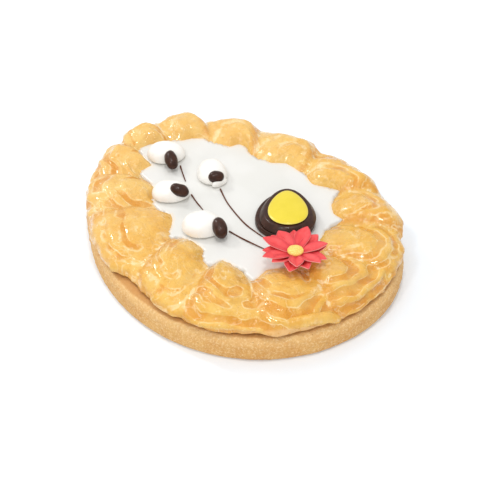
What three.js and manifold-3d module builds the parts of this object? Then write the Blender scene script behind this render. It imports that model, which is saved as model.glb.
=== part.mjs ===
// A mazurek: an egg-shaped shortcrust cake about 170 mm long. A thick base carries a ring of
// piped, swirled dough round a pool of white icing. On the icing lie four catkins with dark buds,
// their drawn twigs and a two-tier chocolate egg, and a sugar daisy sits across the ring's edge.
// Millimetres, +Z up, resting on z = 0. +Y is the egg's pointed end, -Y its wide end.
import * as THREE from 'three';
import Module from 'manifold-3d';
import { mergeVertices } from 'three/addons/utils/BufferGeometryUtils.js';

const wasm = await Module();
wasm.setup();

// ---- driving dimensions ----
const TAU = 2 * Math.PI;
// Room between cut neighbours, and between a topping and the icing it lies on.
const GAP = 0.3;
const SEAT = 0.1;

// The plan of the whole cake, an egg: its reach from the middle to the pointed end and to the wide
// end along Y, half width along X, and how egg-like.
const PLAN = { pointedEnd: 85, wideEnd: 87.5, halfWidth: 68.8, egg: 0.13 };

// The base's side from the floor up: how far each level stays inside the plan, and its height.
const BASE_SIDE = [
  { inset: 2.6, z: 0 },
  { inset: 0.9, z: 1.2 },
  { inset: 0.1, z: 4.5 },
  { inset: 0, z: 8.5 },
  { inset: 0.8, z: 11.8 },
  { inset: 2.2, z: 13.6 },
];
const BASE_STEPS = 72;

// The ring of dough, from its lip in to the icing: heights, how far the lip stays inside the plan,
// how much further in it lies between two rosettes, and the widest step round the ring in degrees.
// The lip's edge also ripples a little all the way round.
const RING = {
  bottom: 13.9, lip: 15.1, lipInset: 0.3, undercut: 0.7, scallop: 1.3, step: 3.6, shortestStep: 1.2,
  ripple: 0.35, ripples: 41,
};

// The piped rosettes, clockwise from the near one. Each fills the ring from its own turn, in
// degrees round the plan, to the next one's. It rises slowly to its crest, at PEAK of the way, and
// drops steeply from there. A few bulge out past the plan's edge.
const PEAK = 0.7;
const RISE = 1.6;
const ROSETTES = [
  { turn: -90, crest: 25.4 }, { turn: -118, crest: 25.8 }, { turn: -145, crest: 25.4 },
  { turn: -178, crest: 25.4 }, { turn: -206, crest: 25.8, bulge: 1.5 }, { turn: -237, crest: 26 },
  { turn: -256, crest: 25.2 }, { turn: -277, crest: 26 }, { turn: -299, crest: 27, bulge: 1.6 },
  { turn: -323, crest: 26.4 }, { turn: -349, crest: 26.6 }, { turn: -375, crest: 26.2 },
  { turn: -399, crest: 26, bulge: 1 }, { turn: -428, crest: 24.4 },
];
// Across a rosette run nested ridges that bend in towards the icing at its two sides, where the
// grooves are down to a share of their depth.
const ROPE = {
  ridges: 5, groove: 1.8, shallowest: 0.35, steepness: 0.5, dip: 4.4, bend: 0.5, lean: 0.35,
};
// The dough's height across the ring: share of the way in from the lip, share of the crest.
const ROPE_PROFILE = [
  [0, 0], [0.06, 0.42], [0.16, 0.72], [0.3, 0.93], [0.46, 1], [0.7, 0.94], [1, 0.72],
];

// The pool of icing fills the ring. Its edge, as degrees round the plan and distance inside the
// plan's edge, runs in tongues into the grooves between the rosettes.
const ICING = { bottom: 13.9, top: 20.5 };
const ICING_EDGE = [
  [-98, 40.5], [-110, 39.5], [-116, 35], [-120, 34], [-124, 41], [-132, 43], [-138, 43],
  [-144, 38], [-150, 38], [-156, 44], [-166, 42], [-175, 39.5], [-179, 34], [-187, 36],
  [-195, 38.5], [-203, 39.5], [-208, 35], [-216, 34], [-228, 35.5], [-236, 34], [-240, 26.5],
  [-245, 27.5], [-252, 29.5], [-256, 19], [-260, 17], [-266, 17], [-276, 20.5], [-285, 21.5],
  [-291, 19.5], [-298, 20], [-302, 24], [-311, 24.5], [-316, 20], [-320, 20.5], [-323, 26.5],
  [-328, 28.5], [-336, 27.5], [-343, 22.5], [-348, 23], [-356, 26], [-365, 27.5], [-370, 24],
  [-375, 20.5], [-379, 27], [-386, 31], [-394, 32], [-399, 30], [-404, 36], [-412, 40],
  [-422, 41], [-434, 40], [-448, 42],
];

// The catkins: centre in plan, long axis in degrees, length, width, height, and the bud on each:
// how far its centre lies from the catkin's along X and Y and above the catkin's foot, its own
// long axis, how far that axis rises, and its size.
const CATKINS = [
  {
    at: [-2.8, 53.8], turn: -35, size: [19.5, 15, 7.8],
    bud: { from: [-2.9, -8.9], rise: 4.7, turn: 70, tilt: 25, size: [10, 6.4, 6] },
  },
  {
    at: [6.7, 28.4], turn: 62, size: [18.5, 15.2, 7.2],
    bud: { from: [-2.3, -6.9], rise: 4.3, turn: -30, tilt: 0, size: [7.6, 5.6, 6] },
  },
  {
    at: [-18.5, 25.8], turn: -35, size: [19, 14, 7.6],
    bud: { from: [1.6, -5.3], rise: 6.1, turn: -40, tilt: -22, size: [9.4, 6.2, 5.8] },
  },
  {
    at: [-20.7, -4.3], turn: -37, size: [20.5, 16.8, 8.4],
    bud: { from: [3.4, -8.8], rise: 5, turn: 72, tilt: 22, size: [10.6, 7, 7] },
  },
];
// A drop's outline at five levels: share of its length and width, and share of its height. It is
// narrower at one end.
const DROP_LEVELS = [[0.9, 0], [1, 0.22], [0.93, 0.55], [0.72, 0.82], [0.38, 0.97]];
const DROP_NARROWING = 0.12;
const DROP_STEPS = 16;
const BUD_STEPS = { round: 14, along: 9 };
// A block wide enough to cut a bud off along the icing.
const CUTTER = { width: 60, depth: 30 };

// The twigs are chocolate lines drawn on the icing, each a curve through a few points in plan.
const TWIG = { radius: 0.45, sides: 6, stepsPerPoint: 5 };
const TWIGS = [
  [[-1.4, 43.6], [-3.8, 38], [-6.3, 31.8]],
  [[-10.1, 21], [-11.4, 14.5], [-12.3, 8]],
  [[3.7, 17], [0.3, 6.4], [-1.8, -5.5], [-2.4, -14], [-1.5, -23.4]],
  [[-11.6, -12.5], [-10.2, -19], [-8.5, -25], [-6.4, -31.5]],
];

// The chocolate egg lies with its pointed end along EGG.turn, and `egg` says how pointed a tier is.
// A tier leans in by its slope and ends in a rounded edge. `shift` moves it along the egg's length
// and `aside` across it.
const EGG = { at: [15.6, -18.6], turn: 55, steps: 28, foot: { inset: 0.4, height: 0.8 } };
const EGG_TIERS = {
  egg_plaque: {
    length: 34.4, width: 28, egg: 0.18, bottom: 20.6, top: 23.6, slope: 0.3, round: 0.7,
    shift: -0.6, aside: 0,
  },
  egg_body: {
    length: 34.5, width: 26, egg: 0.24, bottom: 23.7, top: 27.4, slope: 1.9, round: 0.7,
    shift: -1, aside: -1.2,
  },
};
const YOLK = {
  length: 27.6, width: 19.2, egg: 0.26, bottom: 27.5, rise: 1.7, shift: -1.7, aside: -1.2,
};

// The sugar daisy: two layers of pointed petals, cupped, and a button in the middle. The lower
// layer's petals show between the upper ones.
const DAISY = {
  at: [-1.1, -49, 25.1], petals: 7, steps: 6, middle: 0.22, fold: 0.5, point: 1.7,
  button: { radius: 3.6, lift: 3.7, rise: 1.3, steps: 14 },
};
const PETAL_LAYERS = {
  flower_petals_lower: { radius: 15.2, waist: 0.6, lift: 0, cup: 2.3, thickness: 0.9, turn: 25.7 },
  flower_petals_upper: { radius: 14.9, waist: 0.52, lift: 2.2, cup: 3, thickness: 0.9, turn: 0 },
};

// ---- finishes ----
const finish = (color, roughness) => new THREE.MeshStandardMaterial({ color, roughness, metalness: 0 });
const FINISH = {
  crust: finish(0xd9a765, 0.85),
  glazedDough: finish(0xe0a654, 0.3),
  icing: finish(0xe6e6e4, 0.35),
  catkin: finish(0xfbfaf7, 0.45),
  chocolate: finish(0x2b1a17, 0.3),
  twig: finish(0x5a3326, 0.5),
  yolk: finish(0xf0df1e, 0.4),
  petal: finish(0xe8485a, 0.6),
  button: finish(0xf2cc4e, 0.7),
};

// ---- geometry helpers ----
const radians = (degrees) => degrees * Math.PI / 180;

// A closed body from points and triangles, with shared vertices.
function body(points, triangles) {
  const geometry = new THREE.BufferGeometry();
  geometry.setAttribute('position', new THREE.Float32BufferAttribute(points.flat(), 3));
  geometry.setIndex(triangles.flat());
  return geometry;
}

// Skins rings of equal length, lowest first and each anticlockwise, and closes both ends with a
// fan round the ring's middle. `peak` raises the upper fan's middle point.
function loft(rings, peak = 0) {
  const count = rings[0].length;
  const middle = (ring) => [0, 1, 2].map((axis) => ring.reduce((sum, p) => sum + p[axis], 0) / count);
  const points = rings.flat();
  const triangles = [];
  for (let level = 0; level + 1 < rings.length; level += 1) {
    for (let i = 0; i < count; i += 1) {
      const a = level * count + i;
      const b = level * count + (i + 1) % count;
      triangles.push([a, b, b + count], [a, b + count, a + count]);
    }
  }
  const top = rings.length - 1;
  const low = points.push(middle(rings[0])) - 1;
  const high = points.push(middle(rings[top])) - 1;
  points[high][2] += peak;
  for (let i = 0; i < count; i += 1) {
    const next = (i + 1) % count;
    triangles.push([low, next, i], [high, top * count + i, top * count + next]);
  }
  return body(points, triangles);
}

function toSolid(geometry) {
  const bare = geometry.clone();
  bare.deleteAttribute('normal');
  bare.deleteAttribute('uv');
  const merged = mergeVertices(bare, 1e-4);
  const mesh = new wasm.Mesh({
    numProp: 3,
    vertProperties: Float32Array.from(merged.attributes.position.array),
    triVerts: Uint32Array.from(merged.index.array),
  });
  return new wasm.Manifold(mesh);
}

function toGeometry(solid) {
  const mesh = solid.getMesh();
  const geometry = new THREE.BufferGeometry();
  const corners = Float32Array.from(mesh.vertProperties);
  geometry.setAttribute('position', new THREE.BufferAttribute(corners, 3));
  geometry.setIndex(new THREE.BufferAttribute(Uint32Array.from(mesh.triVerts), 1));
  return geometry;
}

// Fills hollows that a join has sealed and drops loose scraps.
function largest(solid) {
  return solid.decompose().reduce((best, part) => (part.volume() > best.volume() ? part : best));
}

// ---- the base and the ring ----
function planPoint(turn, inset = 0) {
  const x = PLAN.halfWidth * Math.cos(turn) * (1 - PLAN.egg * Math.sin(turn));
  const y = Math.sin(turn) * (Math.sin(turn) > 0 ? PLAN.pointedEnd : PLAN.wideEnd);
  const scale = 1 - inset / Math.hypot(x, y);
  return [x * scale, y * scale];
}

function baseGeometry() {
  const ring = ({ inset, z }) => Array.from({ length: BASE_STEPS }, (_, i) => (
    [...planPoint(TAU * i / BASE_STEPS, inset), z]));
  return loft(BASE_SIDE.map(ring));
}

// Turns round the plan at which the ring and the icing have corners: every corner of the icing's
// edge and every rosette's start, with even steps between them.
function stations() {
  const fixed = [...ICING_EDGE.map(([turn]) => turn), ...ROSETTES.map(({ turn }) => turn)];
  const corners = fixed.map((turn) => (turn > -90 ? turn - 360 : turn)).sort((a, b) => b - a);
  const kept = corners.filter((turn, i) => i === 0 || corners[i - 1] - turn > RING.shortestStep);
  const turns = [];
  kept.forEach((turn, i) => {
    const next = i + 1 < kept.length ? kept[i + 1] : kept[0] - 360;
    const steps = Math.ceil((turn - next) / RING.step);
    for (let step = 0; step < steps; step += 1) {
      turns.push(THREE.MathUtils.lerp(turn, next, step / steps));
    }
  });
  return turns;
}

// Reads a list of [place, value] pairs at a place between two of them.
function between(pairs, place) {
  const after = pairs.findIndex(([at]) => at >= place);
  if (after <= 0) {
    return pairs[after === 0 ? 0 : pairs.length - 1][1];
  }
  const [[from, low], [to, high]] = [pairs[after - 1], pairs[after]];
  return low + (high - low) * (place - from) / (to - from);
}

// The icing's edge over three rounds of the plan, so that a turn near its ends has neighbours.
const ICING_INSETS = [0, -360, -720]
  .flatMap((round) => ICING_EDGE.map(([turn, inset]) => [turn + round, inset]))
  .sort((a, b) => a[0] - b[0]);
const icingInset = (turn) => between(ICING_INSETS, turn);

// Where a turn lies in its rosette: the share of the way, how far it has risen between the sides (0)
// and the crest (1), and the crest's height.
function rosetteAt(turn) {
  const index = ROSETTES.reduce((last, rosette, i) => (rosette.turn >= turn ? i : last), 0);
  const { turn: from, crest, bulge = 0 } = ROSETTES[index];
  const to = index + 1 < ROSETTES.length ? ROSETTES[index + 1].turn : ROSETTES[0].turn - 360;
  const share = (from - turn) / (from - to);
  const arch = share < PEAK
    ? 1 - (1 - share / PEAK) ** RISE
    : Math.sqrt(Math.max(0, 1 - ((share - PEAK) / (1 - PEAK)) ** 2));
  return { share, arch, crest, bulge };
}

// The section of the ring at one turn: under the lip, over the ridges and down to the base.
function ringSection(turn) {
  const { share, arch, crest, bulge } = rosetteAt(turn);
  const ripple = RING.ripple * (1 + Math.sin(RING.ripples * radians(turn)));
  const lip = RING.lipInset + RING.scallop * (1 - arch) + ripple - bulge * arch;
  const inner = icingInset(turn) - GAP;
  const lines = 2 * ROPE.ridges;
  const deepest = Math.min(ROPE.groove, ROPE.steepness * (inner - lip) / lines);
  const depth = deepest * (ROPE.shallowest + (1 - ROPE.shallowest) * arch);
  const at = (inset, z) => [...planPoint(radians(turn), inset), z];
  const section = [at(inner, RING.bottom), at(lip + RING.undercut, RING.bottom)];
  for (let line = 0; line <= lines; line += 1) {
    const even = line / lines;
    const lean = ROPE.lean * (share - 0.5);
    const way = even + (ROPE.bend * (1 - arch) + lean) * even * (1 - even);
    const rise = between(ROPE_PROFILE, way);
    const top = crest - ROPE.dip * (1 - arch);
    const groove = line % 2 === 1 || line === 0 || line === lines ? 0 : depth;
    section.push(at(lip + (inner - lip) * way, RING.lip + (top - RING.lip) * rise - groove));
  }
  return section;
}

function ringGeometry() {
  const sections = stations().map(ringSection);
  const corners = sections[0].length;
  const triangles = [];
  sections.forEach((_, i) => {
    for (let j = 0; j < corners; j += 1) {
      const next = (j + 1) % corners;
      const a = i * corners;
      const b = ((i + 1) % sections.length) * corners;
      triangles.push([a + j, b + next, b + j], [a + j, a + next, b + next]);
    }
  });
  return body(sections.flat(), triangles);
}

// ---- icing ----
function icingGeometry() {
  const corner = (turn) => new THREE.Vector2(...planPoint(radians(turn), icingInset(turn)));
  const edge = stations().map(corner);
  const depth = ICING.top - ICING.bottom;
  return new THREE.ExtrudeGeometry(new THREE.Shape(edge), { depth, bevelEnabled: false });
}

// ---- catkins and buds ----
// A drop with a flat foot: egg-like in plan, round on top.
function dropGeometry([length, width, height], turn, growth = 0) {
  const rings = DROP_LEVELS.map(([share, rise]) => Array.from({ length: DROP_STEPS }, (_, i) => {
    const angle = TAU * i / DROP_STEPS;
    const along = (length / 2 * share + growth) * Math.cos(angle);
    const narrowed = Math.sin(angle) * (1 - DROP_NARROWING * Math.cos(angle));
    const across = (width / 2 * share + growth) * narrowed;
    const cos = Math.cos(turn);
    const sin = Math.sin(turn);
    return [along * cos - across * sin, along * sin + across * cos, (height + growth) * rise];
  }));
  return loft(rings, 0.03 * height);
}

function budGeometry(catkin) {
  const ball = new THREE.SphereGeometry(0.5, BUD_STEPS.round, BUD_STEPS.along);
  ball.scale(...catkin.bud.size);
  ball.rotateY(-radians(catkin.bud.tilt));
  ball.rotateZ(radians(catkin.bud.turn));
  ball.translate(...catkin.bud.from, catkin.bud.rise);
  const drop = toSolid(dropGeometry(catkin.size, radians(catkin.turn), GAP));
  const block = new THREE.BoxGeometry(CUTTER.width, CUTTER.width, CUTTER.depth);
  const floor = toSolid(block.translate(0, 0, SEAT - CUTTER.depth / 2));
  return toGeometry(toSolid(ball).subtract(drop).subtract(floor));
}

// ---- twigs ----
function twigGeometry(points) {
  const path = new THREE.CatmullRomCurve3(points.map(([x, y]) => new THREE.Vector3(x, y, 0)));
  const section = new THREE.Shape(Array.from({ length: TWIG.sides }, (_, i) => {
    const angle = TAU * i / TWIG.sides;
    return new THREE.Vector2(TWIG.radius * Math.cos(angle), TWIG.radius * Math.sin(angle));
  }));
  const steps = TWIG.stepsPerPoint * (points.length - 1);
  return new THREE.ExtrudeGeometry(section, { steps, extrudePath: path, bevelEnabled: false });
}

// ---- chocolate egg ----
// One outline of the egg at height z, smaller by inset all round.
function eggRing({ length, width, egg, shift, aside }, inset, z) {
  return Array.from({ length: EGG.steps }, (_, i) => {
    const angle = TAU * i / EGG.steps;
    const along = (length / 2 - inset) * Math.cos(angle) + shift;
    const across = (width / 2 - inset) * Math.sin(angle) * (1 - egg * Math.cos(angle)) + aside;
    return [along, across, z];
  });
}

function tierGeometry(tier) {
  const { bottom, top, slope, round } = tier;
  const foot = [eggRing(tier, EGG.foot.inset, bottom), eggRing(tier, 0, bottom + EGG.foot.height)];
  const rim = [eggRing(tier, slope, top - 0.5 * round), eggRing(tier, slope + round, top)];
  return loft([...foot, ...rim]);
}

// The yellow top swells: inset and share of its rise, from its foot up.
const YOLK_LEVELS = [[0, 0], [0.25, 0.3], [1.4, 0.7], [5, 0.95]];

function yolkGeometry() {
  const level = ([inset, share]) => eggRing(YOLK, inset, YOLK.bottom + YOLK.rise * share);
  const rings = YOLK_LEVELS.map(level);
  return loft(rings, 0.05 * YOLK.rise);
}

// ---- daisy ----
// One layer of petals: both faces rise from the middle to the tips, which the notches part.
function petalGeometry({ radius, waist, lift, cup, thickness, turn }) {
  const count = DAISY.petals * DAISY.steps;
  const ring = (share, offset) => Array.from({ length: count }, (_, i) => {
    const across = 2 * (i % DAISY.steps) / DAISY.steps - 1;
    const outline = waist + (1 - waist) * (1 - Math.abs(across) ** DAISY.point);
    const r = radius * share * THREE.MathUtils.lerp(1, outline, share);
    const angle = radians(turn) + TAU * i / count;
    const fold = DAISY.fold * across ** 2 * share;
    return [r * Math.cos(angle), r * Math.sin(angle), lift + offset + cup * share ** 2 + fold];
  });
  const shares = [DAISY.middle, 0.6, 1];
  const under = shares.map((share) => ring(share, 0));
  const over = shares.map((share) => ring(share, thickness * (1 - 0.45 * share))).reverse();
  return loft([...under, ...over]);
}

function buttonGeometry() {
  const { radius, rise, steps } = DAISY.button;
  const shares = [[0, 0], [1, 0], [1, 0.4], [0.75, 0.85], [0, 1]];
  const profile = shares.map(([out, up]) => new THREE.Vector2(radius * out, rise * up));
  return new THREE.LatheGeometry(profile, steps).rotateX(Math.PI / 2);
}

// ---- assembly ----
// The plan's two ends differ, so the whole is moved to bring its middle over the origin.
const mazurek = new THREE.Group();
mazurek.position.y = (PLAN.wideEnd - PLAN.pointedEnd) / 2;

function piece(name, geometry, material, parent = mazurek) {
  const mesh = new THREE.Mesh(geometry, material);
  mesh.name = name;
  parent.add(mesh);
  return mesh;
}

// The ring, hollowed where a catkin's end reaches over its inner edge.
function borderGeometry() {
  const border = CATKINS.reduce((ring, catkin) => {
    const around = dropGeometry(catkin.size, radians(catkin.turn), GAP);
    around.translate(catkin.at[0], catkin.at[1], ICING.top);
    return ring.subtract(toSolid(around));
  }, toSolid(ringGeometry()));
  return toGeometry(largest(border));
}

piece('crust_base', baseGeometry(), FINISH.crust);
piece('piped_border', borderGeometry(), FINISH.glazedDough);
piece('icing', icingGeometry(), FINISH.icing).position.z = ICING.bottom;

CATKINS.forEach((catkin, i) => {
  const place = new THREE.Group();
  place.position.set(...catkin.at, ICING.top + SEAT);
  mazurek.add(place);
  piece(`catkin_${i + 1}`, dropGeometry(catkin.size, radians(catkin.turn)), FINISH.catkin, place);
  piece(`bud_${i + 1}`, budGeometry(catkin), FINISH.chocolate, place);
});

TWIGS.forEach((points, i) => {
  const twig = piece(`twig_${i + 1}`, twigGeometry(points), FINISH.twig);
  twig.position.z = ICING.top + SEAT + TWIG.radius;
});

const egg = new THREE.Group();
egg.position.set(...EGG.at, 0);
egg.rotation.z = radians(EGG.turn);
mazurek.add(egg);
for (const [name, tier] of Object.entries(EGG_TIERS)) {
  piece(name, tierGeometry(tier), FINISH.chocolate, egg);
}
piece('egg_yolk', yolkGeometry(), FINISH.yolk, egg);

const daisy = new THREE.Group();
daisy.position.set(...DAISY.at);
mazurek.add(daisy);
for (const [name, layer] of Object.entries(PETAL_LAYERS)) {
  piece(name, petalGeometry(layer), FINISH.petal, daisy);
}
piece('flower_button', buttonGeometry(), FINISH.button, daisy).position.z = DAISY.button.lift;

export default mazurek;
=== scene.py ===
"""The looks of a mazurek: an egg-shaped shortcrust cake with a ring of piped, glazed dough, a pool
of white icing, four sugar catkins with chocolate buds, a chocolate egg and a sugar daisy.

Sizes are in millimetres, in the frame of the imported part, and become metres where a mesh is set."""

import itertools
import math

import bpy
import numpy as np
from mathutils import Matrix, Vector
from mathutils.kdtree import KDTree


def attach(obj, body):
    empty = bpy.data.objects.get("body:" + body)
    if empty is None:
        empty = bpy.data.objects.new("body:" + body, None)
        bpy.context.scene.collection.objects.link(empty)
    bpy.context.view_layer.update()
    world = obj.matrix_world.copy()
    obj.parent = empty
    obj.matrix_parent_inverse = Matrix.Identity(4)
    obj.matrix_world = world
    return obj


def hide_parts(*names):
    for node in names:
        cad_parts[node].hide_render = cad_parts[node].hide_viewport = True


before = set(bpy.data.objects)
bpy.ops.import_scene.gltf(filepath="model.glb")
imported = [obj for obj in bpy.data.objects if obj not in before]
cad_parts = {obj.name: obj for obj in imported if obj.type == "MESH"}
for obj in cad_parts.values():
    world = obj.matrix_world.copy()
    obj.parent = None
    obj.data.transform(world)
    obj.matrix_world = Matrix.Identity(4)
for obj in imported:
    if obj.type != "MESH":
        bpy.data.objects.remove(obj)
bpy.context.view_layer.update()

MM = 0.001
TAU = 2 * math.pi

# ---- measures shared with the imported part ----
# The whole cake's plan, an egg: how far it reaches along +Y and -Y, its half width, how egg-like.
PLAN = {"pointed_end": 85, "wide_end": 87.5, "half_width": 68.8, "egg": 0.13}
MIDDLE_Y = (PLAN["wide_end"] - PLAN["pointed_end"]) / 2
ICING_TOP = 20.5

# The base is modelled as a round drum and then drawn out to the plan. Its side, from the floor up:
# how far each level stays inside the drum's radius, and its height.
DRUM = {"radius": 70, "steps": 720, "every": 4, "top": 13.75}
BASE_SIDE = [(3.4, 0), (1.6, 0.3), (0.7, 1.5), (0.2, 4.5), (0.1, 8.5), (0.5, 10.6), (1.3, 12),
             (2.8, 13), (6, 13.6)]
# The base is dented where both have grown in: share of the drum's radius, and height.
DENTED = {"share": (0.9, 0.96), "height": (0.1, 1.4), "inwards": 0.5}

# The piped rosettes, anticlockwise seen from above. Each begins steeply at its turn round the plan
# (degrees, at its inner end) and slopes down under the next one. `sweep` is how much further round
# its outer end begins, `bulge` how far it stands out past the plan. Its nested ridges bend round
# an eye that lies `eye` of the way out, and are `pitch` apart; `spin` turns them into a spiral,
# and `deep` makes them stronger or fainter.
ROSETTE_VALUES = ("turn", "sweep", "crest", "bulge", "eye", "spin", "pitch", "deep")
ROSETTES = [dict(zip(ROSETTE_VALUES, row)) for row in [
    (-71, 9, 24.6, -0.4, 0.30, 0.5, 6.6, 0.65),
    (-40, 0, 26.0, 0.8, 0.22, -0.6, 6.4, 0.50),
    (-15, -5, 26.2, 0.0, 0.20, 0.7, 6.2, 0.55),
    (6, 9, 26.6, 0.0, 0.18, 0.6, 7.2, 0.65),
    (34, 5, 26.4, 0.0, 0.16, -0.5, 6.8, 0.80),
    (60, 1, 27.0, 1.4, 0.18, 0.6, 6.8, 0.80),
    (83, 2, 26.0, 0.0, 0.15, 0.8, 6.6, 0.80),
    (104, 4, 25.2, 0.0, 0.18, -0.6, 6.2, 0.70),
    (123, 14, 26.0, 0.6, 0.26, 0.5, 7.0, 0.60),
    (154, 1, 25.8, 0.8, 0.30, -0.5, 6.8, 0.60),
    (182, 12, 25.4, 0.0, 0.42, 0.9, 6.2, 0.90),
    (217, -3, 25.4, 0.3, 0.36, 0.4, 6.4, 2.00),
    (241, 0, 25.8, 0.3, 0.34, -0.4, 6.4, 1.50),
    (272, -7, 25.4, -1.3, 0.36, 0.5, 6.6, 1.50),
]]
# Within a rosette: where its highest line lies (share of the way on from its steep side), how far
# it reaches past its own ends, how far it dips there, and how its two sides fall.
ARCH = {"peak": 0.3, "overlap": 0.07, "dip": 5.4, "gentle": 1.6}
# The dough's outline across the ring: share of the way in from the lip, share of the crest's
# height over the lip. It starts in the gap under the lip and ends under the icing.
DOUGH_PROFILE = [(0.13, -0.12), (0.06, -0.11), (0.015, -0.05), (0.0, 0.06), (0.006, 0.22),
                 (0.045, 0.46), (0.13, 0.73), (0.27, 0.94), (0.44, 1.0), (0.64, 0.97), (0.81, 0.85),
                 (0.93, 0.64), (1.01, 0.46), (1.08, 0.25)]
# The dough: heights of its lip and of its underside, how far the lip lies inside the plan and draws
# back between two rosettes, how far its noise goes at most, and a rosette's usual size across.
DOUGH = {"lip": 15.1, "floor": 13.9, "lip_inset": 0.5, "scallop": 1.7, "most_ragged": 0.4,
         "most_droop": 0.5, "across": (32, 10.5)}
# The ridges: height; how far they run on under the icing; where in a rosette the eye lies; how they
# crowd outwards, shift from one rosette to the next and lean; their depth and how it varies; how
# faint they are at the eye and where they grow; the step where two rosettes meet; what of a ridge
# lies below the plain dough and what is left of it at a meeting.
RIDGES = {"height": 1.1, "foot": 7, "middle": 0.45, "crowding": 0.92, "shift": 0.37, "lean": 1.5,
          "depth": 0.85, "variety": 0.4, "scatter": (12.9, 7.1), "faint": 0.35, "growing": (2.5, 9),
          "step": 1.1, "below": 0.7, "at_meeting": 0.2}
# Where the relief begins, calms and ends on the way from lip to foot, and where the grain ends.
RELIEF = {"begins": (0.04, 0.14), "calms": (0.78, 0.9), "calm": 0.7, "ends": (0.93, 1.0),
          "grain_ends": (0.8, 0.9)}
# For the finish: which part of a rosette is its steep and its gentle side, how worn its bands are,
# and where on the way its bare patches lie.
ZONES = {"steep": (0.0, 0.16), "gentle": (0.78, 1.0), "worn": (-0.8, 0.0), "patch": (0.1, 0.5),
         "bare_from": (0.07, 0.09), "bare_to": (0.14, 0.18), "bare_patch": 0.6}
# Round the lip near this turn the dough's side is bare of glaze (middle and reach in degrees).
BARE = {"turn": -106, "reach": 14}
# Here the lip draws back between two rosettes and leaves a shelf of the base in sight.
SHELF = {"turn": -169, "reach": 11, "depth": 4.2}
# The rope's end, from where it leaves the lip: turn, inset, height and its own radius.
ROPE_END = [(-122, 4.6, 16.8, 1.2), (-115, 4.0, 17.8, 2.3), (-108, 3.7, 18.4, 2.8),
            (-101, 3.6, 18.2, 2.9), (-96.5, 3.0, 17.2, 2.6), (-94, 2.4, 15.4, 2.1),
            (-93.4, 2.0, 14.0, 1.5)]
# How round it is, and what the finish reads on it.
ROPE = {"smoothness": 8, "marks": {"groove": 0.15, "meet": 0.1, "flank": 0.4, "way": 0.3, "bare": 0,
                                   "tone": 0.6, "steep": 0, "gentle": 0}}
# The ring's mesh: the torus it starts as, steps round it and round its section, the part of the
# section that shows, the step its slope is measured over, and what of the underside stays high.
RING = {"major": 70, "minor": 10, "round": 860, "section": 112, "shows": 0.86, "step": 0.004,
        "turned_in": 0.12}
# Under a catkin the dough gives way: how far below the icing's top, from where and how steeply.
PRESSED = {"sunk": 0.3, "clear": 0.2, "slope": 2.2}

# The icing: its mesh's pitch, how far the sheet stays inside the cake's sides and ends, how far it
# is tucked into the dough, its depth, how far it sinks, which dough is its shore and how wide its
# rim is.
POOL = {"pitch": 1.4, "side": 12, "end": 15, "tucked": 2.2, "depth": 5, "sunk": 0.05,
        "shore_height": 0.35, "shore_width": 6, "rim": 1.6}

# Catkins: middle in plan, turn in degrees, and length, width and height.
CATKINS = [
    ((-2.8, 55.05), -35, (19.5, 15, 7.8)),
    ((6.7, 29.65), 62, (18.5, 15.2, 7.2)),
    ((-18.5, 27.05), -35, (19, 14, 7.6)),
    ((-20.7, -3.05), -37, (20.5, 16.8, 8.4)),
]
# The bud on each: its middle from the catkin's, its turn, how far its long axis rises, and its size.
BUDS = [
    ((-2.9, -8.9, 4.7), 70, 25, (10, 6.2, 6)),
    ((-2.3, -6.9, 4.3), -30, 0, (7.6, 5.4, 6)),
    ((1.6, -5.3, 6.1), -40, -22, (9.2, 6, 5.8)),
    ((3.4, -8.8, 5), 72, 22, (10.6, 6.8, 7)),
]
# A bud's lowest points lie this far above the icing's top.
SEAT = 0.1
# A catkin keeps its outline near the icing and swells above it, between these heights.
SWELLING = (0.3, 2)
# A curl of the second catkin's sugar lies over its bud.
CURL = {"catkin": 2, "at": (5.2, 21.0, 22.3), "size": (8.5, 3.2, 4.0)}

# The drawn twigs: the points in plan that each line of chocolate passes through, from its catkin.
TWIGS = [
    [(-1.4, 44.85), (-3.8, 39.25), (-6.3, 33.05)],
    [(-10.1, 22.25), (-11.4, 15.75), (-12.3, 9.25)],
    [(3.7, 18.25), (0.3, 7.65), (-1.8, -4.25), (-2.4, -12.75), (-1.6, -22.15), (-0.8, -26.5)],
    [(-11.6, -11.25), (-10.2, -17.75), (-8.5, -23.75), (-6.4, -30.25), (-5, -34)],
]
TWIG = {"radius": 0.37, "thinning": 0.35, "wobble": 0.12, "beads": 9, "lift": 0.33, "smoothness": 3}
# A drop of the same chocolate beside the fourth catkin, drawn with the second twig.
DROP = {"twig": 2, "at": (-12.7, 2.0, ICING_TOP + 0.3), "size": (1.65, 1.35, 0.75)}

# The egg: how wide and in how many steps its corners sharper than this (radians) are rounded, and
# how far the yolk is drawn in.
EGG = {"bevel": 0.5, "bevel_steps": 3, "corner": 0.5, "yolk_share": (0.97, 0.97, 1)}

# The daisy: its middle, and its button's radius, place, half height and mesh. Then each layer's
# petals, with their turns in degrees as they lie in the photograph.
DAISY = {"at": (-1.1, -47.75, 25.1), "button": {"radius": 3.7, "lift": 3.2, "rise": 1.5, "steps": (72, 44)}}
PETAL_LAYERS = [
    {"name": "daisy_petals_lower", "node": "flower_petals_lower", "reach": 14.5, "width": 7.0,
     "lift": 1.2, "cup": 3.1, "turns": (-104, -62, -23, 13, 57, 100, 145, 187, 222), "seed": 61},
    {"name": "daisy_petals_upper", "node": "flower_petals_upper", "reach": 15.1, "width": 6.8,
     "lift": 2.4, "cup": 3.2, "turns": (-125, -82, -28, 33, 83, 122, 168), "seed": 62},
]
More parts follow.
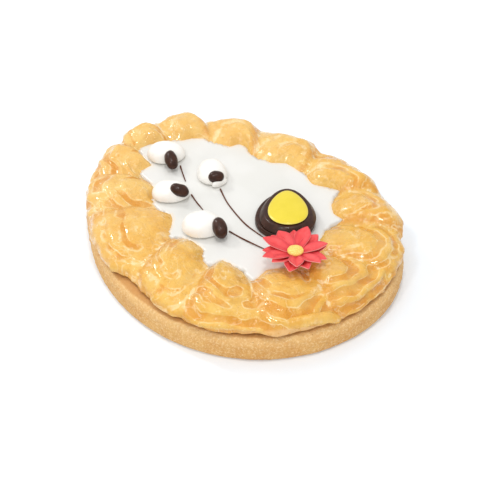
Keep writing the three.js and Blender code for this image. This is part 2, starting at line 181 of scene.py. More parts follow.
# A petal: where it begins, its width there, where it is widest, how pointed it is, how it cups, its
# folded sides, its crease, its drooping tip, its thickness, its sheet's mesh and the petals' heart.
PETAL = {"root": 1.4, "root_width": 0.4, "widest": 0.6, "point": 1.5, "cupping": 1.6, "fold": 1.1,
         "crease": 0.5, "crease_width": 0.22, "crease_ends": 0.7, "tip": 0.3, "tip_from": 0.8,
         "thickness": 0.55, "steps": (18, 10), "heart": (7, 7, 1.6), "heart_lift": 0.4}
# Where a petal is painted darker, as painted shade in its crease, towards its edge and towards its root:
# its crease's width, from where to its edge and from where to its root.
PETAL_SHADE = {"crease": 0.2, "edge": (0.6, 1.0), "root": (0.05, 0.45)}
# No two petals are alike: how much they differ in length, width and cup, and in tilt (degrees).
PETAL_VARIETY = {"size": (0.06, 0.1, 0.12), "tilt": 9}

# Unevenness, as layers of smooth noise: depth, distance between bumps, first seed and octaves.
UNEVEN = {
    "lip": [(1.3, 6, 14, 3)],
    "droop": [(0.6, 7, 15, 3)],
    "ridges_astray": [(0.42, 19, 3, 1), (0.22, 8, 4, 1)],
    "dough_lumps": [(0.5, 11, 5, 2), (0.14, 4.2, 7, 2)],
    "dough_grain": [(0.05, 1.5, 6, 2)],
    "worn_glaze": [(1, 13, 17, 2)],
    "bare_patches": [(1, 17, 16, 1)],
    "rope": [(0.3, 5, 81, 2)],
    "base_dents": [(0.5, 16, 11, 2), (0.3, 3.4, 12, 3), (0.16, 1.3, 13, 1)],
    "icing": [(0.16, 17, 21, 2)],
    "catkin_height": [(0.25, 7, 30, 1)],
    "catkin_outline": [(0.2, 5, 40, 1)],
    "bud": [(0.2, 3.4, 50, 1)],
    "button": [(0.1, 1.6, 71, 1), (0.06, 0.7, 72, 1)],
}

# The lamps: place and size in metres, power, and whether the glaze mirrors them.
LAMPS = [
    ("overhead", (0.15, 0.35, 0.9), (0.5, 0.5), 1.1, False),
    ("front_fill", (-0.5, -0.8, 0.35), (0.5, 0.4), 1.2, False),
    ("window", (-0.25, 0.75, 0.75), (0.08, 0.22), 2.4, True),
    ("near_lamp", (-0.12, -0.2, 1.0), (0.1, 0.1), 2.0, True),
    ("side_lamp", (-0.6, -0.3, 0.8), (0.1, 0.1), 1.5, True),
]
# The floor's size and how far it lies under the cake, in metres, and the daylight's strength.
STUDIO = {"floor": 6, "floor_drop": 0.0002, "daylight": 0.735}
# The photograph's view. Distance in metres, the shift in pixels of a 480 pixel picture.
CAMERA = {"azimuth": -35, "elevation": 38, "distance": 0.8, "sensor": 36, "lens": 126.3,
          "shift": (5.6, 4.3), "picture": 480}


# ---- handling objects ----
def clear_selection():
    if bpy.context.object and bpy.context.object.mode != "OBJECT":
        bpy.ops.object.mode_set(mode="OBJECT")
    bpy.ops.object.select_all(action="DESELECT")


def pick(*objects):
    """Selects these objects alone; the first is the active one."""
    clear_selection()
    for obj in objects:
        obj.select_set(True)
    bpy.context.view_layer.objects.active = objects[0]


def edit_all():
    """Starts editing the active object with all of its mesh selected."""
    bpy.ops.object.mode_set(mode="EDIT")
    bpy.ops.mesh.select_all(action="SELECT")


def fixed():
    """Writes the picked object's place, turn and size into its mesh."""
    bpy.ops.object.transform_apply(location=True, rotation=True, scale=True)


def points_of(obj):
    """The mesh's points in millimetres, one row each."""
    flat = np.empty(3 * len(obj.data.vertices))
    obj.data.vertices.foreach_get("co", flat)
    return flat.reshape(-1, 3) / MM


def move_points(obj, points):
    obj.data.vertices.foreach_set("co", (np.asarray(points) * MM).ravel())
    obj.data.update()


def apply_modifier(obj, kind, **settings):
    pick(obj)
    modifier = obj.modifiers.new(kind.title(), kind)
    for key, value in settings.items():
        setattr(modifier, key, value)
    bpy.ops.object.modifier_apply(modifier=modifier.name)


def smoothed(obj, levels):
    apply_modifier(obj, "SUBSURF", levels=levels, render_levels=levels)


def merged_copy(node):
    """A copy of a CAD node's mesh as one joined surface of quads where they pair up."""
    obj = bpy.data.objects.new(node + "_copy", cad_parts[node].data.copy())
    bpy.context.scene.collection.objects.link(obj)
    pick(obj)
    bpy.ops.mesh.customdata_custom_splitnormals_clear()
    edit_all()
    bpy.ops.mesh.remove_doubles(threshold=0.01 * MM)
    bpy.ops.mesh.tris_convert_to_quads()
    bpy.ops.object.mode_set(mode="OBJECT")
    return obj


def twin(obj):
    """A copy with its own mesh."""
    other = obj.copy()
    other.data = obj.data.copy()
    bpy.context.scene.collection.objects.link(other)
    return other


def resized(obj, *factors):
    pick(obj)
    bpy.ops.transform.resize(value=factors, center_override=(0, 0, 0))
    fixed()


def turned(obj, degrees, axis="Z"):
    """Turns anticlockwise seen from the axis's end. The operator counts the other way."""
    pick(obj)
    bpy.ops.transform.rotate(value=-math.radians(degrees), orient_axis=axis, center_override=(0, 0, 0))
    fixed()


def moved(obj, at):
    pick(obj)
    bpy.ops.transform.translate(value=[part * MM for part in at])
    fixed()


def joined(*objects):
    pick(*objects)
    bpy.ops.object.join()
    return objects[0]


def face_outwards(obj):
    pick(obj)
    edit_all()
    bpy.ops.mesh.normals_make_consistent(inside=False)
    bpy.ops.object.mode_set(mode="OBJECT")


def note(obj, name, values):
    """Keeps a number for each point, for the material to read."""
    attribute = obj.data.attributes.new(name, "FLOAT", "POINT")
    attribute.data.foreach_set("value", np.asarray(values, np.float32))


def place(obj, name, material, slot, *nodes):
    """Names a finished piece, gives it its finish and lets it stand for its CAD nodes."""
    obj.name = name
    obj.data.name = name
    pick(obj)
    bpy.ops.object.shade_smooth()
    obj.data.materials.clear()
    obj.data.materials.append(material)
    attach(obj, "root")
    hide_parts(*nodes)


# ---- shapes in numbers ----
def waves(points, size, seed, octaves=1):
    """Smooth noise from about -1 to 1 at each point; size is the distance between bumps."""
    count, loudness, octave_shift = 256, 1.7, 31.7
    rng = np.random.RandomState(seed)
    order = rng.permutation(count)
    slopes = rng.normal(size=(count, 3))
    slopes /= np.linalg.norm(slopes, axis=1, keepdims=True)
    total = np.zeros(len(points))
    for octave in range(octaves):
        scaled = points * 2 ** octave / size + octave_shift * octave
        cell = np.floor(scaled).astype(int)
        part = scaled - cell
        fade = part ** 3 * (part * (part * 6 - 15) + 10)
        for corner in itertools.product((0, 1), repeat=3):
            at = cell + corner
            place_in_order = 0
            for axis in range(3):
                place_in_order = order[(place_in_order + at[:, axis]) % count]
            weight = np.prod(np.where(corner, fade, 1 - fade), axis=1)
            dot = ((part - corner) * slopes[place_in_order]).sum(axis=1)
            total += loudness / 2 ** octave * weight * dot
    return total


def bumps(points, kind, seed_shift=0):
    """The unevenness of this kind at each point, in millimetres."""
    return sum(depth * waves(points, size, seed + seed_shift, octaves)
               for depth, size, seed, octaves in UNEVEN[kind])


def shaken(points, kind, seed_shift=0):
    """The points moved about by the unevenness of this kind along every axis."""
    return points + np.stack([bumps(points, kind, seed_shift + axis) for axis in range(3)], axis=-1)


def blend_in(value, low, high):
    """0 below low, 1 above high, smooth between."""
    t = np.clip((value - low) / (high - low), 0, 1)
    return t * t * (3 - 2 * t)


def plan_point(turn):
    """The plan's edge at a turn in radians, from the cake's middle."""
    x = PLAN["half_width"] * np.cos(turn) * (1 - PLAN["egg"] * np.sin(turn))
    reach = np.where(np.sin(turn) > 0, PLAN["pointed_end"], PLAN["wide_end"])
    return x, np.sin(turn) * reach


def at_inset(turn, inset, z):
    """Points inside the plan's edge by inset, at height z, in the part's frame."""
    x, y = plan_point(turn)
    scale = 1 - inset / np.hypot(x, y)
    return np.stack([x * scale, y * scale + MIDDLE_Y, z + 0 * x], axis=-1)


def bowed(rows):
    """A smooth line through rows of numbers, 24 steps from each to the next."""
    knots = np.array(rows, float)
    ends = np.vstack([2 * knots[0] - knots[1], knots, 2 * knots[-1] - knots[-2]])
    line = []
    for a, b, c, d in zip(ends, ends[1:], ends[2:], ends[3:]):
        for t in np.linspace(0, 1, 24, endpoint=False):
            line.append(0.5 * (2 * b + (c - a) * t + (2 * a - 5 * b + 4 * c - d) * t ** 2
                               + (3 * b - a - 3 * c + d) * t ** 3))
    return np.array(line + [knots[-1]])


def icing_edge():
    """The icing node's edge as radius over direction, from the cake's middle."""
    points = np.array([v.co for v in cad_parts["icing"].data.vertices]) / MM
    rim = points[points[:, 2] > ICING_TOP - 0.1]
    direction = np.arctan2(rim[:, 1] - MIDDLE_Y, rim[:, 0])
    order = np.argsort(direction)
    return direction[order], np.hypot(rim[:, 1] - MIDDLE_Y, rim[:, 0])[order]


ICING_DIRECTION, ICING_RADIUS = icing_edge()


def icing_reach(x, y):
    """How far the icing reaches from the cake's middle in the direction of x, y."""
    return np.interp(np.arctan2(y, x), ICING_DIRECTION, ICING_RADIUS, period=TAU)


def icing_inset(turn):
    """How far inside the plan's edge the icing ends."""
    x, y = plan_point(turn)
    return np.hypot(x, y) - icing_reach(x, y)


# ---- the ring of piped dough ----
def read(key, owner):
    """One of the rosettes' values for each point's own rosette."""
    return np.array([rosette[key] for rosette in ROSETTES])[owner]


def rosette_fields(turn, way):
    """For every point of the ring (turn in radians, way from 0 at the lip to 1 at the icing): its
    rosette, how far it is through it (0 to 1), how far it has risen towards the crest, and how
    clearly it stands over its neighbour (0 where the two meet)."""
    nowhere = -1e9
    best = np.full(turn.shape, nowhere)
    second = best.copy()
    owner = np.zeros(turn.shape, int)
    through = np.zeros(turn.shape)
    degrees = np.degrees(turn)
    begins = [r["turn"] + r["sweep"] * (1 - way) for r in ROSETTES]
    begins.append(begins[0] + 360)
    overlap, peak = ARCH["overlap"], ARCH["peak"]
    for i, rosette in enumerate(ROSETTES):
        span = begins[i + 1] - begins[i]
        s = ((degrees - begins[i] + 90) % 360 - 90) / span
        steep = np.sqrt(np.clip(1 - ((peak - s) / (peak + overlap)) ** 2, 0, 1))
        gentle = 1 - np.clip((s - peak) / (1 + overlap - peak), 0, 1) ** ARCH["gentle"]
        arch = np.where(s < peak, steep, gentle)
        inside = (s > -overlap) & (s < 1 + overlap)
        height = np.where(inside, rosette["crest"] - ARCH["dip"] * (1 - arch), nowhere)
        wins = height > best
        second = np.where(wins, best, np.maximum(second, height))
        owner = np.where(wins, i, owner)
        through = np.where(wins, s, through)
        best = np.where(wins, height, best)
    risen = 1 - (read("crest", owner) - best) / ARCH["dip"]
    return owner, through, risen, best - second


def over_ring(turn, way):
    """The plain surface of the dough: turn round the plan in radians, way from 0 at the lip's
    underside to 1 at its foot under the icing."""
    owner, _, risen, _ = rosette_fields(turn, way)
    crest = read("crest", owner) - ARCH["dip"] * (1 - risen)
    line = bowed(DOUGH_PROFILE)
    steps = np.hypot(*(np.diff(line, axis=0) * DOUGH["across"]).T)
    lengths = np.concatenate([[0], np.cumsum(steps)])
    lengths /= lengths[-1]
    share = np.interp(way, lengths, line[:, 0])
    rise = np.interp(way, lengths, line[:, 1])
    circle = np.stack([np.cos(turn), np.sin(turn), 0 * turn], axis=-1) * RING["major"]
    ragged = np.maximum(bumps(circle, "lip"), -DOUGH["most_ragged"])
    shelf = SHELF["depth"] * np.exp(-((np.degrees(turn) - SHELF["turn"]) / SHELF["reach"]) ** 2)
    lip = (DOUGH["lip_inset"] + DOUGH["scallop"] * (1 - risen) - read("bulge", owner) * risen
           + ragged + shelf)
    inner = icing_inset(turn)
    near_lip = (rise < 0.5) * (1 - 2 * np.abs(rise))
    droop = np.maximum(bumps(circle, "droop"), -DOUGH["most_droop"]) * near_lip
    z = DOUGH["lip"] + droop + (crest - DOUGH["lip"]) * rise
    return at_inset(turn, lip + (inner - lip) * share, z)


def ridge_field(turn, way, points):
    """The nested ridges: how high each point stands between groove (0) and crest (1), how deep the
    ridges are there, how clearly its rosette stands over its neighbour (0 to 1), which rosette it
    is and how far through it the point lies."""
    owner, through, _, margin = rosette_fields(turn, way)
    x, y = plan_point(turn)
    width = icing_inset(turn) + RIDGES["foot"]
    outward = (1 - way) * width - read("eye", owner) * width
    begins = np.array([r["turn"] for r in ROSETTES])
    spans = np.append(begins[1:], begins[0] + 360) - begins
    radius = np.hypot(x, y) - width * way
    sideways = (through - RIDGES["middle"]) * np.radians(spans[owner]) * radius
    along = np.maximum(outward, 0)
    distance = np.hypot(sideways, along)
    hair = 0.01
    angle = np.arctan2(sideways, along + hair)
    phase = (distance / read("pitch", owner)) ** RIDGES["crowding"]
    phase = phase + read("spin", owner) * angle / math.pi
    phase = phase + bumps(points, "ridges_astray") + RIDGES["shift"] * owner
    band = np.floor(phase)
    ridge = 0.5 - 0.5 * np.cos(TAU * (phase - band) ** RIDGES["lean"])
    by_band, by_owner = RIDGES["scatter"]
    depth = RIDGES["depth"] + RIDGES["variety"] * np.sin(by_band * band + by_owner * owner)
    grown = blend_in(distance, *RIDGES["growing"])
    depth = depth * (RIDGES["faint"] + (1 - RIDGES["faint"]) * grown) * read("deep", owner)
    return ridge, depth, blend_in(margin, 0.0, RIDGES["step"]), owner, through


def pressed(points):
    """Highest the dough may be at each point, so that the catkins lie on it."""
    ceiling = np.full(len(points), 1e3)
    for at, turn, (length, width, _) in CATKINS:
        angle = math.radians(turn)
        dx = points[:, 0] - at[0]
        dy = points[:, 1] - at[1]
        along = (dx * math.cos(angle) + dy * math.sin(angle)) / (length / 2)
        aside = (dy * math.cos(angle) - dx * math.sin(angle)) / (width / 2)
        beyond = (np.hypot(along, aside) - 1) * width / 2
        slope = np.maximum(beyond - PRESSED["clear"], 0) * PRESSED["slope"]
        ceiling = np.minimum(ceiling, ICING_TOP - PRESSED["sunk"] + slope)
    return ceiling


def make_border(finish):
    """A torus, its outer and upper part laid over the dough's shape. Gives back the points that
    show."""
    clear_selection()
    bpy.ops.mesh.primitive_torus_add(major_radius=RING["major"] * MM, minor_radius=RING["minor"] * MM,
                                     major_segments=RING["round"], minor_segments=RING["section"],
                                     location=(0, 0, 0))
    obj = bpy.context.object
    start = points_of(obj)
    turn = np.arctan2(start[:, 1], start[:, 0])
    share = np.arctan2(start[:, 2], np.hypot(start[:, 0], start[:, 1]) - RING["major"]) % TAU / TAU
    way = np.clip(share / RING["shows"], 0, 1)
    plain = over_ring(turn, way)
    normal = ring_normal(turn, way)
    ridge, depth, near, owner, through = ridge_field(turn, way, plain)
    fade = (blend_in(way, *RELIEF["begins"]) * (1 - RELIEF["calm"] * blend_in(way, *RELIEF["calms"]))
            * (1 - blend_in(way, *RELIEF["ends"])))
    beside = RIDGES["at_meeting"] + (1 - RIDGES["at_meeting"]) * near
    lift = RIDGES["height"] * (ridge - RIDGES["below"]) * depth * beside
    lift += bumps(plain, "dough_lumps")
    grain = bumps(plain, "dough_grain") * (1 - blend_in(way, *RELIEF["grain_ends"]))
    points = plain + normal * (fade * lift + grain)[:, None]
    # the underside runs from the foot under the icing back out to the lip
    hidden = share > RING["shows"]
    back = ((share - RING["shows"]) / (1 - RING["shows"]))[:, None]
    foot = over_ring(turn, np.ones_like(turn))
    lip = over_ring(turn, np.zeros_like(turn))
    under = foot * (1 - back) + lip * back
    under[:, 2] = np.where(back[:, 0] < RING["turned_in"], foot[:, 2],
                           np.minimum(DOUGH["floor"], lip[:, 2]))
    points = np.where(hidden[:, None], under, points)
    points[:, 2] = np.where(hidden, points[:, 2], np.minimum(points[:, 2], pressed(points)))
    points[:, 2] = np.maximum(points[:, 2], DOUGH["floor"] - 0.1)
    move_points(obj, points)
    face_outwards(obj)
    worn = blend_in(bumps(plain, "worn_glaze"), *ZONES["worn"])
    note(obj, "groove", np.where(hidden, 1, (1 - ridge) * np.clip(depth * worn, 0, 1)))
    note(obj, "meet", np.where(hidden, 1, 1 - near))
    note(obj, "flank", 1 - np.clip(normal[:, 2], 0, 1))
    note(obj, "way", way)
    # the golden ratio spreads the rosettes' tones evenly
    note(obj, "tone", (owner * 0.618 + 0.3) % 1)
    note(obj, "steep", (1 - blend_in(through, *ZONES["steep"])) * near)
    note(obj, "gentle", blend_in(through, *ZONES["gentle"]))
    above_gap = blend_in(way, *ZONES["bare_from"]) * (1 - blend_in(way, *ZONES["bare_to"]))
    patches = blend_in(bumps(plain, "bare_patches"), *ZONES["patch"])
    end = np.exp(-((np.degrees(turn) - BARE["turn"]) / BARE["reach"]) ** 4)
    note(obj, "bare", above_gap * np.maximum(end, ZONES["bare_patch"] * patches))
    obj = joined(obj, rope_end())
    place(obj, "piped_swirls", finish, "glazed_dough", "piped_border")
    return points[~hidden]


def ring_normal(turn, way):
    """Which way the plain dough faces at each point, out of the cake."""
    step = RING["step"]
    across = over_ring(turn, np.minimum(way + step, 1)) - over_ring(turn, np.maximum(way - step, 0))
    along = over_ring(turn + step / 4, way) - over_ring(turn - step / 4, way)
    normal = np.cross(along, across)
    normal /= np.maximum(np.linalg.norm(normal, axis=1, keepdims=True), 1e-9)
    on_top = (way > 0.5) & (way < 0.6)
    return normal * np.sign(np.median(normal[on_top, 2]))


def rope_end():
    """The end of the piped rope, laid along the lip and curling down over it."""
    knots = [at_inset(math.radians(turn), inset, z) for turn, inset, z, radius in ROPE_END]
    line = bowed(knots)
    sizes = np.interp(np.linspace(0, 1, len(line)), np.linspace(0, 1, len(ROPE_END)),
                      [radius for turn, inset, z, radius in ROPE_END])
    obj = tube(line, sizes, ROPE["smoothness"])
    points = shaken(points_of(obj), "rope")
    move_points(obj, points)
    for name, value in ROPE["marks"].items():
        note(obj, name, np.full(len(points), value))
    return obj


def tube(line, sizes, smoothness):
    """A round rod along a line of points in millimetres, with its radius at each."""
    clear_selection()
    bpy.ops.curve.primitive_nurbs_path_add(location=(0, 0, 0))
    obj = bpy.context.object
    curve = obj.data
    curve.splines.clear()
    spline = curve.splines.new("POLY")
    spline.points.add(len(line) - 1)
    for point, at, size in zip(spline.points, line, sizes):
        point.co = (*(np.array(at) * MM), 1)
        point.radius = size
    curve.bevel_depth = MM
    curve.bevel_resolution = smoothness
    curve.use_fill_caps = True
    pick(obj)
    bpy.ops.object.convert(target="MESH")
    return obj


# ---- the base ----
def make_base(finish):
    """A drum, extruded level by level, then drawn out to the plan and roughened."""
    radius = DRUM["radius"]
    side = bowed(BASE_SIDE)[::DRUM["every"]]
    inset, height = side[0]
    clear_selection()
    bpy.ops.mesh.primitive_circle_add(vertices=DRUM["steps"], radius=(radius - inset) * MM,
                                      fill_type="NGON", location=(0, 0, height * MM))
    obj = bpy.context.object
    fixed()
    edit_all()
    for (inset, height), (next_inset, next_height) in zip(side, side[1:]):
        rise = (0, 0, (next_height - height) * MM)
        bpy.ops.mesh.extrude_region_move(TRANSFORM_OT_translate={"value": rise})
        factor = (radius - next_inset) / (radius - inset)
        bpy.ops.transform.resize(value=(factor, factor, 1), center_override=(0, 0, 0))
    bpy.ops.object.mode_set(mode="OBJECT")
    points = points_of(obj)
    turn = np.arctan2(points[:, 1], points[:, 0])
    share = np.hypot(points[:, 0], points[:, 1]) / radius
    x, y = plan_point(turn)
    points[:, 0] = x * share
    points[:, 1] = y * share + MIDDLE_Y
    outward = np.stack([x, y, 0 * x], axis=-1) / np.hypot(x, y)[:, None]
    dents = bumps(points, "base_dents") - DENTED["inwards"]
    on_side = blend_in(share, *DENTED["share"]) * blend_in(points[:, 2], *DENTED["height"])
    points += outward * (dents * on_side)[:, None]
    points[:, 2] = np.clip(points[:, 2], 0, DRUM["top"])
    move_points(obj, points)
    face_outwards(obj)
    place(obj, "shortcrust_base", finish, "crust", "crust_base")


# ---- the icing ----
def make_icing(finish, dough):
    """A sheet with what lies outside the pool's edge cut off, extruded down into the ring."""
    clear_selection()
    width = 2 * (PLAN["half_width"] - POOL["side"])
    length = PLAN["pointed_end"] + PLAN["wide_end"] - 2 * POOL["end"]
    bpy.ops.mesh.primitive_grid_add(x_subdivisions=round(width / POOL["pitch"]), size=MM,
                                    y_subdivisions=round(length / POOL["pitch"]),
                                    location=(0, 0, 0))
    obj = bpy.context.object
    resized(obj, width, length, 1)
    moved(obj, (0, MIDDLE_Y, ICING_TOP))
    points = points_of(obj)
    x, y = points[:, 0], points[:, 1] - MIDDLE_Y
    outside = np.hypot(x, y) > icing_reach(x, y) + POOL["tucked"]
    obj.data.polygons.foreach_set("select", np.zeros(len(obj.data.polygons), bool))
    obj.data.edges.foreach_set("select", np.zeros(len(obj.data.edges), bool))
    obj.data.vertices.foreach_set("select", outside)
    bpy.ops.object.mode_set(mode="EDIT")
    bpy.ops.mesh.delete(type="VERT")
    bpy.ops.mesh.select_all(action="SELECT")
    bpy.ops.mesh.extrude_region_move(TRANSFORM_OT_translate={"value": (0, 0, -POOL["depth"] * MM)})
    bpy.ops.object.mode_set(mode="OBJECT")
    points = points_of(obj)
    on_top = points[:, 2] > ICING_TOP - 1
    points[:, 2] += np.where(on_top, bumps(points, "icing") - POOL["sunk"], 0)
    move_points(obj, points)
    face_outwards(obj)
    # how near each point is to the dough that rises out of the icing
    shore = dough[np.abs(dough[:, 2] - ICING_TOP) < POOL["shore_height"]]
    x, y = shore[:, 0], shore[:, 1] - MIDDLE_Y
    shore = shore[np.abs(np.hypot(x, y) - icing_reach(x, y)) < POOL["shore_width"]]
    tree = KDTree(len(shore))
    for i, point in enumerate(shore):
        tree.insert((point[0], point[1], 0), i)
    tree.balance()
    gap = np.array([tree.find((point[0], point[1], 0))[2] for point in points])
    note(obj, "rim", np.exp(-gap / POOL["rim"]))
    place(obj, "white_icing", finish, "icing", "icing")


# ---- catkins, buds and twigs ----
def pebble(length, width, height):
    """A cube smoothed to a pebble of this size."""
    clear_selection()
    bpy.ops.mesh.primitive_cube_add(size=MM, location=(0, 0, 0))
    obj = bpy.context.object
    smoothed(obj, 5)
    reach = 2 * np.abs(points_of(obj)).max(axis=0)
    resized(obj, length / reach[0], width / reach[1], height / reach[2])
    return obj


def make_catkins(sugar, chocolate):
    for i, (at, _, _) in enumerate(CATKINS, start=1):
        obj = merged_copy(f"catkin_{i}")
        smoothed(obj, 3)
        points = points_of(obj)
        rise = blend_in(points[:, 2] - ICING_TOP, *SWELLING)
        points[:, 2] += bumps(points, "catkin_height", i) * rise
        points[:, :2] += bumps(points, "catkin_outline", i)[:, None]
        move_points(obj, points)
        if i == CURL["catkin"]:
            curl = pebble(*CURL["size"])
            moved(curl, CURL["at"])
            obj = joined(obj, curl)
        place(obj, f"sugar_catkin_{i}", sugar, "sugar_white", f"catkin_{i}")
        make_bud(i, at, chocolate)


def make_bud(i, at, chocolate):
    (x, y, z), turn, tilt, size = BUDS[i - 1]
    obj = pebble(*size)
    turned(obj, -tilt, "Y")
    turned(obj, turn)
    moved(obj, (at[0] + x, at[1] + y, ICING_TOP + SEAT + z))
    points = shaken(points_of(obj), "bud", i)
    points[:, 2] = np.maximum(points[:, 2], ICING_TOP + SEAT)
    move_points(obj, points)
    place(obj, f"chocolate_bud_{i}", chocolate, "dark_chocolate", f"bud_{i}")


def make_twigs(chocolate):
    for i, path in enumerate(TWIGS, start=1):
        line = [(x, y, ICING_TOP + TWIG["lift"]) for x, y in bowed(path)]
        along = np.linspace(0, 1, len(line))
        thinned = 1 - TWIG["thinning"] * along
        beaded = 1 + TWIG["wobble"] * np.sin(TWIG["beads"] * along + i)
        obj = tube(line, TWIG["radius"] * thinned * beaded, TWIG["smoothness"])
        if i == DROP["twig"]:
            drop = pebble(*DROP["size"])
            moved(drop, DROP["at"])
            obj = joined(obj, drop)
        place(obj, f"drawn_twig_{i}", chocolate, "milk_chocolate", f"twig_{i}")


# ---- the chocolate egg ----
def make_egg(chocolate, yellow):
    for node, name in (("egg_plaque", "egg_lower_tier"), ("egg_body", "egg_upper_tier")):
        obj = merged_copy(node)
        apply_modifier(obj, "BEVEL", width=EGG["bevel"] * MM, segments=EGG["bevel_steps"],
                       limit_method="ANGLE", angle_limit=EGG["corner"])
        smoothed(obj, 2)
        place(obj, name, chocolate, "dark_chocolate", node)
    obj = merged_copy("egg_yolk")
    points = points_of(obj)
    centre = (points.max(axis=0) + points.min(axis=0)) / 2
    move_points(obj, centre + (points - centre) * EGG["yolk_share"])
    smoothed(obj, 3)
    # where the yolk slopes away, for a painted sheen along its rim
    facing = np.array([vertex.normal.z for vertex in obj.data.vertices])
    note(obj, "edge", 1 - np.clip(facing, 0, 1))
    place(obj, "egg_yellow_top", yellow, "sugar_yellow", "egg_yolk")


# ---- the sugar daisy ----
def make_petal(layer):
    """One petal along +X: a sheet cut to a pointed boat with a crease along its middle, thickened
    downwards."""
    clear_selection()
    bpy.ops.mesh.primitive_grid_add(x_subdivisions=PETAL["steps"][0], y_subdivisions=PETAL["steps"][1],
                                    size=MM, location=(0, 0, 0))
    obj = bpy.context.object
    sheet = points_of(obj)
    # rounding may put the sheet's ends a hair outside 0 to 1, where the powers below have no value
    along = np.clip(sheet[:, 0] + 0.5, 0, 1)
    across = 2 * sheet[:, 1]
    widest, root_width, tip_from = PETAL["widest"], PETAL["root_width"], PETAL["tip_from"]
    widening = root_width + (1 - root_width) * np.sin(math.pi / 2 * along / widest)
    narrowing = 1 - np.clip((along - widest) / (1 - widest), 0, 1) ** PETAL["point"]
    outline = np.where(along < widest, widening, narrowing)
    arch = np.sin(math.pi * along).clip(0)
    crease = np.exp(-(across / PETAL["crease_width"]) ** 2) * arch ** PETAL["crease_ends"]
    drooping = np.clip((along - tip_from) / (1 - tip_from), 0, 1) ** 2
    x = PETAL["root"] + (layer["reach"] - PETAL["root"]) * along
    y = layer["width"] / 2 * outline * across
    z = (layer["lift"] + layer["cup"] * along ** PETAL["cupping"] + PETAL["fold"] * across ** 2 * arch
         - PETAL["crease"] * crease - PETAL["tip"] * drooping)
    move_points(obj, np.stack([x, y, z], axis=-1))
    # painted shade along the crease, towards the edges and towards the root
    lines = (np.exp(-(across / PETAL_SHADE["crease"]) ** 2) * (1 - along)
             + blend_in(np.abs(across), *PETAL_SHADE["edge"]))
    petal_shade = np.clip(lines + 1 - blend_in(along, *PETAL_SHADE["root"]), 0, 1)
    apply_modifier(obj, "SOLIDIFY", thickness=PETAL["thickness"] * MM, offset=-1)
    # the undersides, which the finish paints pale as painted light where they lie in shade
    under = np.arange(len(obj.data.vertices)) >= len(sheet)
    note(obj, "under", under)
    note(obj, "petal_shade", np.where(under, 0, np.resize(petal_shade, len(under))))
    smoothed(obj, 1)
    return obj


def make_daisy(coral, gold):
    for layer in PETAL_LAYERS:
        first = make_petal(layer)
        petals = [first] + [twin(first) for _ in layer["turns"][1:]]
        rng = np.random.RandomState(layer["seed"])
        for petal, turn in zip(petals, layer["turns"]):
            resized(petal, *(1 + np.array(PETAL_VARIETY["size"]) * rng.uniform(-1, 1, 3)))
            turned(petal, PETAL_VARIETY["tilt"] * rng.uniform(-1, 1), "X")
            turned(petal, turn)
        heart = pebble(*PETAL["heart"])
        moved(heart, (0, 0, layer["lift"] + PETAL["heart_lift"]))
        note(heart, "under", np.zeros(len(heart.data.vertices)))
        # the heart under the button is all painted shade
        note(heart, "petal_shade", np.ones(len(heart.data.vertices)))
        whole = joined(*petals, heart)
        moved(whole, DAISY["at"])
        place(whole, layer["name"], coral, "sugar_coral", layer["node"])
    make_button(gold)


def make_button(gold):
    button = DAISY["button"]
    clear_selection()
    segments, rings = button["steps"]
    bpy.ops.mesh.primitive_uv_sphere_add(segments=segments, ring_count=rings,
                                         radius=button["radius"] * MM, location=(0, 0, 0))
    obj = bpy.context.object
    resized(obj, 1, 1, button["rise"] / button["radius"])
    moved(obj, np.add(DAISY["at"], (0, 0, button["lift"])))
    points = points_of(obj)
    move_points(obj, points + bumps(points, "button")[:, None])
    place(obj, "daisy_button", gold, "sugar_gold", "flower_button")


# ---- finishes ----
class Field:
    """A socket in a finish. Arithmetic on it adds Math nodes."""

    def __init__(self, recipe, socket):
        self.recipe = recipe
        self.socket = socket

    def _math(self, operation, *values):
        return self.recipe.add("ShaderNodeMath", {"operation": operation}, dict(enumerate(values)))

    def __add__(self, other):
        return self._math("ADD", self, other)

    def __sub__(self, other):
        return self._math("SUBTRACT", self, other)

    def __rsub__(self, other):
        return self._math("SUBTRACT", other, self)

    def __mul__(self, other):
        return self._math("MULTIPLY", self, other)

    def __abs__(self):
        return self._math("ABSOLUTE", self)

    def above(self, low, high):
        """0 below low, 1 above high, smooth between."""
        settings = {"interpolation_type": "SMOOTHSTEP", "clamp": True}
        inputs = {"Value": self, "From Min": low, "From Max": high}
        return self.recipe.add("ShaderNodeMapRange", settings, inputs)

    __radd__ = __add__
    __rmul__ = __mul__


